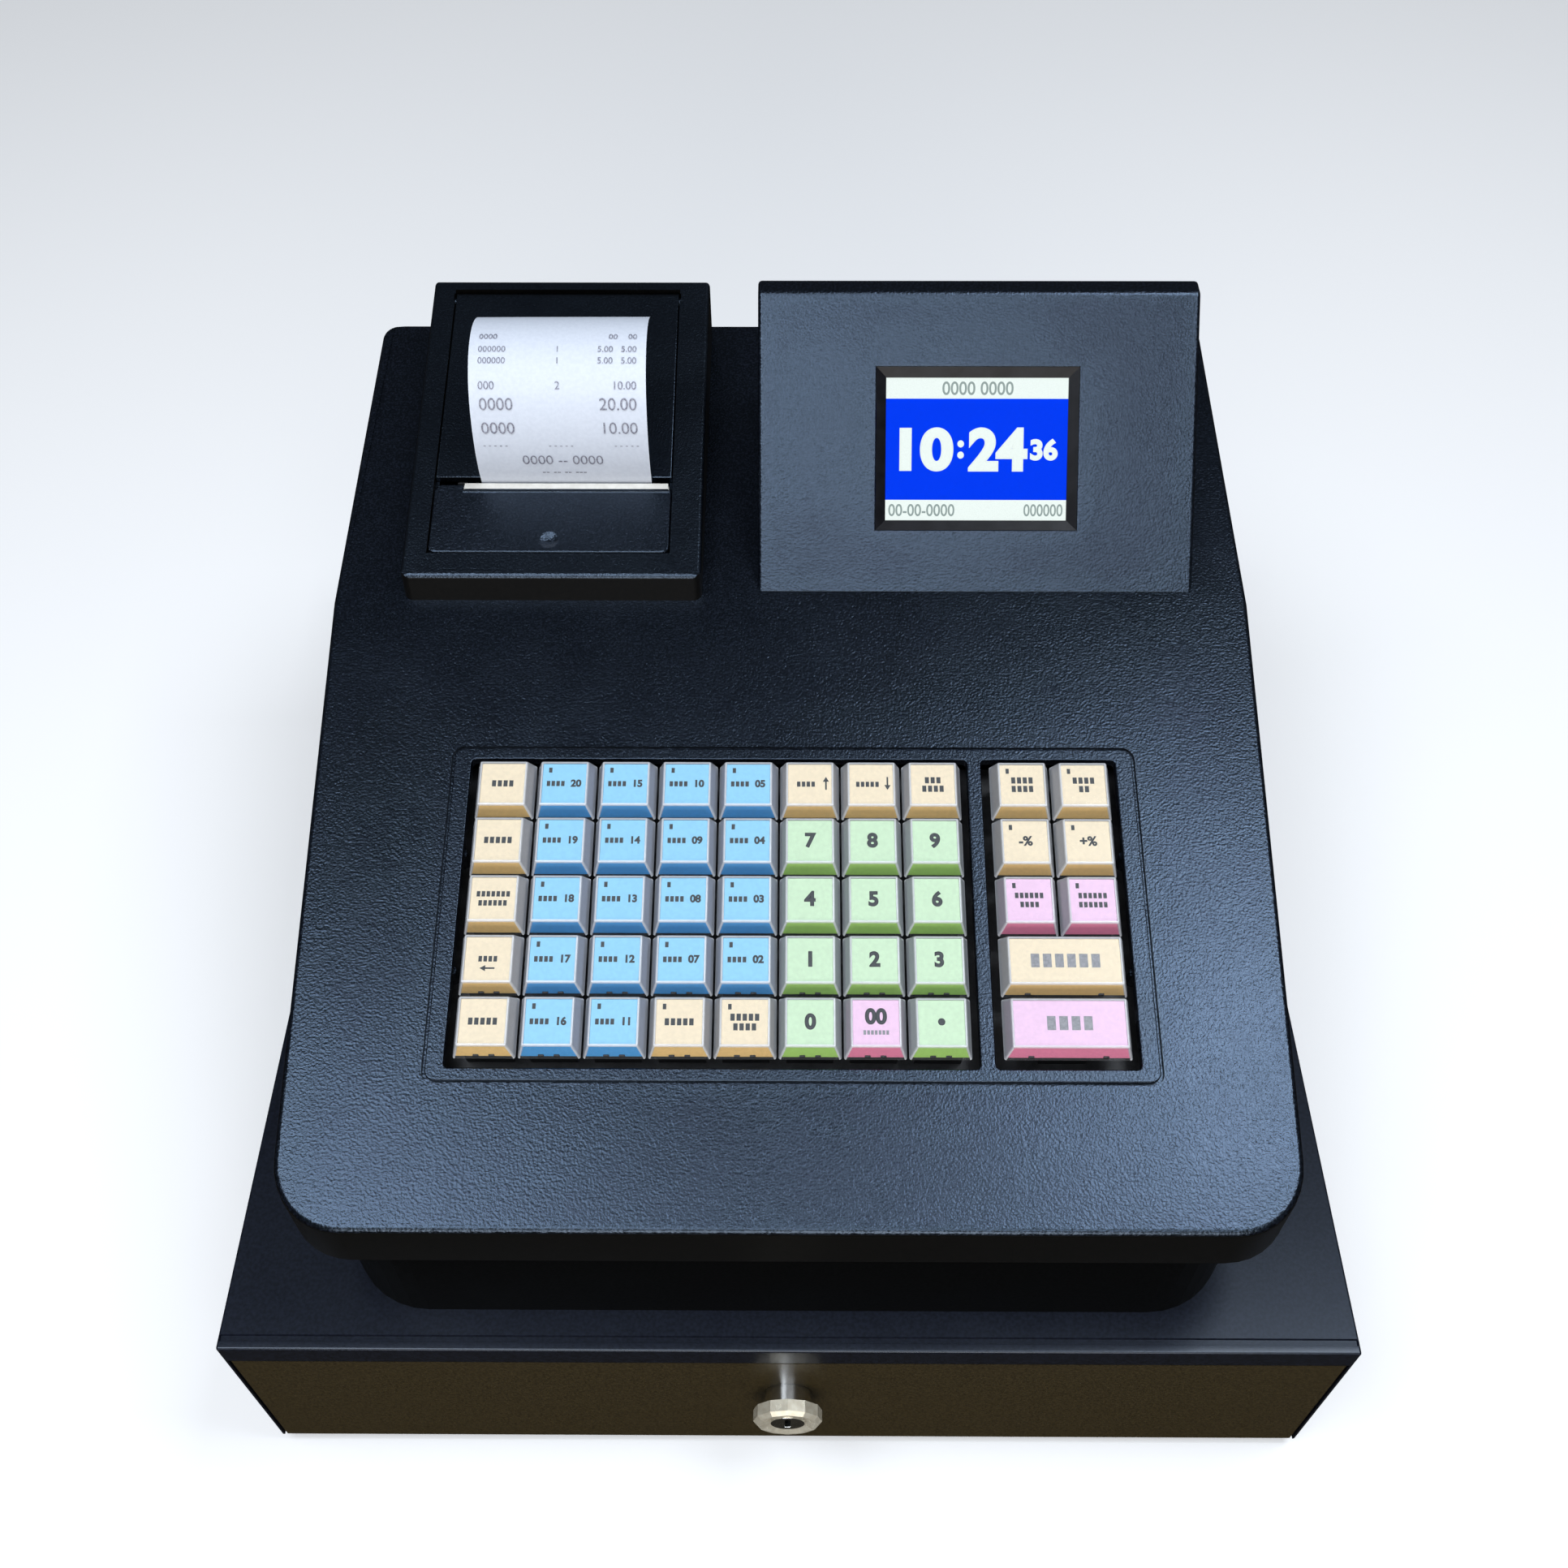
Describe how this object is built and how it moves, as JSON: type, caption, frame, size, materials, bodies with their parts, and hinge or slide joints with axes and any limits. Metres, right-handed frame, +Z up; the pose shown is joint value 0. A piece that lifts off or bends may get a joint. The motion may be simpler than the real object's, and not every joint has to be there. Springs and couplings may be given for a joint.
{
  "type": "electronic cash register with cash drawer",
  "caption": "Desktop cash register on a flat steel cash drawer, with a sloping keyboard of clear-capped keys, a tilted screen and a receipt printer.",
  "frame": {"origin": "centre of the whole object's footprint, on the surface that it stands on", "axes": "+Z up, -Y to the front where the keys and the drawer are, +X to the right as the user stands before it"},
  "size_m": [0.35, 0.4154, 0.2686],
  "materials": {
    "rubber": "matt black rubber",
    "cabinet_paint": "black powder coat, semi-gloss",
    "zinc": "bright zinc plate",
    "chrome": "polished chrome",
    "housing_abs": "charcoal blue fine-grained ABS",
    "base_abs": "black fine-grained ABS",
    "insert_plastic": "black moulded tray plastic",
    "bezel_abs": "dark satin ABS",
    "key_green": "green insert under a clear cap",
    "key_blue": "blue insert under a clear cap",
    "key_cream": "cream insert under a clear cap",
    "key_pink": "pink insert under a clear cap",
    "board_green": "green solder mask",
    "switch_black": "black nylon",
    "motor_metal": "plain drawn steel",
    "coil": "varnished winding and steel yoke",
    "window_clear": "clear acrylic",
    "screen": "lit blue screen in a glossy black frame",
    "gear_nylon": "natural nylon",
    "roller_rubber": "ground black rubber on a steel shaft",
    "paper": "smooth white thermal paper"
  },
  "bodies": {
    "register": {"cabinet_base": "cabinet_paint", "cabinet_cover": "cabinet_paint", "rubber_feet": "rubber", "slide_rails": "zinc", "drawer_solenoid": "coil", "base_housing": "base_abs", "top_housing": "housing_abs", "case_screws": "zinc", "key_bezel": "bezel_abs", "keyboard_pcb": "board_green", "key_switches": "switch_black", "mainboard": "board_green", "power_supply": "motor_metal", "display_housing": "housing_abs", "display_window": "window_clear", "lcd_module": "screen", "display_back": "housing_abs", "printer_frame": "housing_abs", "tear_cover": "housing_abs", "print_head": "motor_metal", "feed_motor": "motor_metal"},
    "drawer": {"drawer_tray": "cabinet_paint", "drawer_runners": "zinc", "drawer_front": "cabinet_paint", "coin_tray": "insert_plastic", "bill_tray": "insert_plastic", "clip_rod": "zinc", "lock_barrel": "chrome"},
    "lock_plug": {"lock_plug": "chrome"},
    "latch": {"latch_plunger": "zinc"},
    "clip_1": {"bill_clip_1": "insert_plastic"},
    "clip_2": {"bill_clip_2": "insert_plastic"},
    "clip_3": {"bill_clip_3": "insert_plastic"},
    "clip_4": {"bill_clip_4": "insert_plastic"},
    "lid": {"printer_lid": "housing_abs", "receipt": "paper"},
    "platen": {"platen_roller": "roller_rubber"},
    "feed_gear": {"feed_gear": "gear_nylon"},
    "paper_roll": {"paper_roll": "paper"},
    "digit_key_0": {"digit_key_0": "key_green"},
    "digit_key_00": {"digit_key_00": "key_pink"},
    "point_key": {"point_key": "key_green"},
    "digit_key_1": {"digit_key_1": "key_green"},
    "digit_key_2": {"digit_key_2": "key_green"},
    "digit_key_3": {"digit_key_3": "key_green"},
    "digit_key_4": {"digit_key_4": "key_green"},
    "digit_key_5": {"digit_key_5": "key_green"},
    "digit_key_6": {"digit_key_6": "key_green"},
    "digit_key_7": {"digit_key_7": "key_green"},
    "digit_key_8": {"digit_key_8": "key_green"},
    "digit_key_9": {"digit_key_9": "key_green"},
    "key_column_1": {"key_column_1": "key_cream"},
    "key_column_2": {"key_column_2": "key_blue"},
    "key_column_3": {"key_column_3": "key_blue"},
    "key_column_4": {"key_column_4": "key_blue"},
    "key_column_5": {"key_column_5": "key_blue"},
    "function_keys": {"function_keys": "key_cream"},
    "modifier_keys": {"modifier_keys": "key_pink"},
    "subtotal_key": {"subtotal_key": "key_cream"},
    "cash_key": {"cash_key": "key_pink"}
  },
  "joints": [
    {"name": "drawer_slide", "type": "slide", "parent": "register", "child": "drawer", "axis": [0, -1, 0], "range_m": [0, 0.28]},
    {"name": "lock_turn", "type": "hinge", "parent": "drawer", "child": "lock_plug", "pos_m": [0, -0.20775, 0.053], "axis": [0, -1, 0], "range_deg": [-90, 90]},
    {"name": "latch_pull", "type": "slide", "parent": "register", "child": "latch", "axis": [0, 0, 1], "range_m": [-0.004, 0], "stiffness_N_per_m": 300, "springref_m": 0.002},
    {"name": "clip_1_lift", "type": "hinge", "parent": "drawer", "child": "clip_1", "pos_m": [-0.1188, 0.14555, 0.0604], "axis": [-1, 0, 0], "range_deg": [0, 46], "stiffness_Nm_per_rad": 0.08, "springref_deg": -20.05},
    {"name": "clip_2_lift", "type": "hinge", "parent": "drawer", "child": "clip_2", "pos_m": [-0.0396, 0.14555, 0.0604], "axis": [-1, 0, 0], "range_deg": [0, 46], "stiffness_Nm_per_rad": 0.08, "springref_deg": -20.05},
    {"name": "clip_3_lift", "type": "hinge", "parent": "drawer", "child": "clip_3", "pos_m": [0.0396, 0.14555, 0.0604], "axis": [-1, 0, 0], "range_deg": [0, 46], "stiffness_Nm_per_rad": 0.08, "springref_deg": -20.05},
    {"name": "clip_4_lift", "type": "hinge", "parent": "drawer", "child": "clip_4", "pos_m": [0.1188, 0.14555, 0.0604], "axis": [-1, 0, 0], "range_deg": [0, 46], "stiffness_Nm_per_rad": 0.08, "springref_deg": -20.05},
    {"name": "lid_hinge", "type": "hinge", "parent": "register", "child": "lid", "pos_m": [-0.0801, 0.13069, 0.23353], "axis": [-1, 0, 0], "range_deg": [0, 75]},
    {"name": "platen_spin", "type": "hinge", "parent": "lid", "child": "platen", "pos_m": [-0.0755, 0.05907, 0.21094], "axis": [1, 0, 0], "continuous": true},
    {"name": "feed_gear_spin", "type": "hinge", "parent": "register", "child": "feed_gear", "pos_m": [-0.11175, 0.06177, 0.19558], "axis": [1, 0, 0], "continuous": true},
    {"name": "paper_roll_spin", "type": "hinge", "parent": "register", "child": "paper_roll", "pos_m": [-0.0755, 0.10558, 0.19676], "axis": [1, 0, 0], "continuous": true},
    {"name": "digit_key_0_press", "type": "slide", "parent": "register", "child": "digit_key_0", "axis": [0, 0.23, -0.9732], "range_m": [0, 0.0035], "stiffness_N_per_m": 350, "springref_m": -0.001},
    {"name": "digit_key_00_press", "type": "slide", "parent": "register", "child": "digit_key_00", "axis": [0, 0.23, -0.9732], "range_m": [0, 0.0035], "stiffness_N_per_m": 350, "springref_m": -0.001},
    {"name": "point_key_press", "type": "slide", "parent": "register", "child": "point_key", "axis": [0, 0.23, -0.9732], "range_m": [0, 0.0035], "stiffness_N_per_m": 350, "springref_m": -0.001},
    {"name": "digit_key_1_press", "type": "slide", "parent": "register", "child": "digit_key_1", "axis": [0, 0.23, -0.9732], "range_m": [0, 0.0035], "stiffness_N_per_m": 350, "springref_m": -0.001},
    {"name": "digit_key_2_press", "type": "slide", "parent": "register", "child": "digit_key_2", "axis": [0, 0.23, -0.9732], "range_m": [0, 0.0035], "stiffness_N_per_m": 350, "springref_m": -0.001},
    {"name": "digit_key_3_press", "type": "slide", "parent": "register", "child": "digit_key_3", "axis": [0, 0.23, -0.9732], "range_m": [0, 0.0035], "stiffness_N_per_m": 350, "springref_m": -0.001},
    {"name": "digit_key_4_press", "type": "slide", "parent": "register", "child": "digit_key_4", "axis": [0, 0.23, -0.9732], "range_m": [0, 0.0035], "stiffness_N_per_m": 350, "springref_m": -0.001},
    {"name": "digit_key_5_press", "type": "slide", "parent": "register", "child": "digit_key_5", "axis": [0, 0.23, -0.9732], "range_m": [0, 0.0035], "stiffness_N_per_m": 350, "springref_m": -0.001},
    {"name": "digit_key_6_press", "type": "slide", "parent": "register", "child": "digit_key_6", "axis": [0, 0.23, -0.9732], "range_m": [0, 0.0035], "stiffness_N_per_m": 350, "springref_m": -0.001},
    {"name": "digit_key_7_press", "type": "slide", "parent": "register", "child": "digit_key_7", "axis": [0, 0.23, -0.9732], "range_m": [0, 0.0035], "stiffness_N_per_m": 350, "springref_m": -0.001},
    {"name": "digit_key_8_press", "type": "slide", "parent": "register", "child": "digit_key_8", "axis": [0, 0.23, -0.9732], "range_m": [0, 0.0035], "stiffness_N_per_m": 350, "springref_m": -0.001},
    {"name": "digit_key_9_press", "type": "slide", "parent": "register", "child": "digit_key_9", "axis": [0, 0.23, -0.9732], "range_m": [0, 0.0035], "stiffness_N_per_m": 350, "springref_m": -0.001},
    {"name": "key_column_1_press", "type": "slide", "parent": "register", "child": "key_column_1", "axis": [0, 0.23, -0.9732], "range_m": [0, 0.0035], "stiffness_N_per_m": 1750, "springref_m": -0.001},
    {"name": "key_column_2_press", "type": "slide", "parent": "register", "child": "key_column_2", "axis": [0, 0.23, -0.9732], "range_m": [0, 0.0035], "stiffness_N_per_m": 1750, "springref_m": -0.001},
    {"name": "key_column_3_press", "type": "slide", "parent": "register", "child": "key_column_3", "axis": [0, 0.23, -0.9732], "range_m": [0, 0.0035], "stiffness_N_per_m": 1750, "springref_m": -0.001},
    {"name": "key_column_4_press", "type": "slide", "parent": "register", "child": "key_column_4", "axis": [0, 0.23, -0.9732], "range_m": [0, 0.0035], "stiffness_N_per_m": 1750, "springref_m": -0.001},
    {"name": "key_column_5_press", "type": "slide", "parent": "register", "child": "key_column_5", "axis": [0, 0.23, -0.9732], "range_m": [0, 0.0035], "stiffness_N_per_m": 1750, "springref_m": -0.001},
    {"name": "function_keys_press", "type": "slide", "parent": "register", "child": "function_keys", "axis": [0, 0.23, -0.9732], "range_m": [0, 0.0035], "stiffness_N_per_m": 2450, "springref_m": -0.001},
    {"name": "modifier_keys_press", "type": "slide", "parent": "register", "child": "modifier_keys", "axis": [0, 0.23, -0.9732], "range_m": [0, 0.0035], "stiffness_N_per_m": 700, "springref_m": -0.001},
    {"name": "subtotal_key_press", "type": "slide", "parent": "register", "child": "subtotal_key", "axis": [0, 0.23, -0.9732], "range_m": [0, 0.0035], "stiffness_N_per_m": 525, "springref_m": -0.001},
    {"name": "cash_key_press", "type": "slide", "parent": "register", "child": "cash_key", "axis": [0, 0.23, -0.9732], "range_m": [0, 0.0035], "stiffness_N_per_m": 525, "springref_m": -0.001}
  ],
  "couplings": [
    {"joint": "platen_spin", "follows": "feed_gear_spin", "ratio": -2},
    {"joint": "paper_roll_spin", "follows": "feed_gear_spin", "ratio": -0.35714}
  ]
}
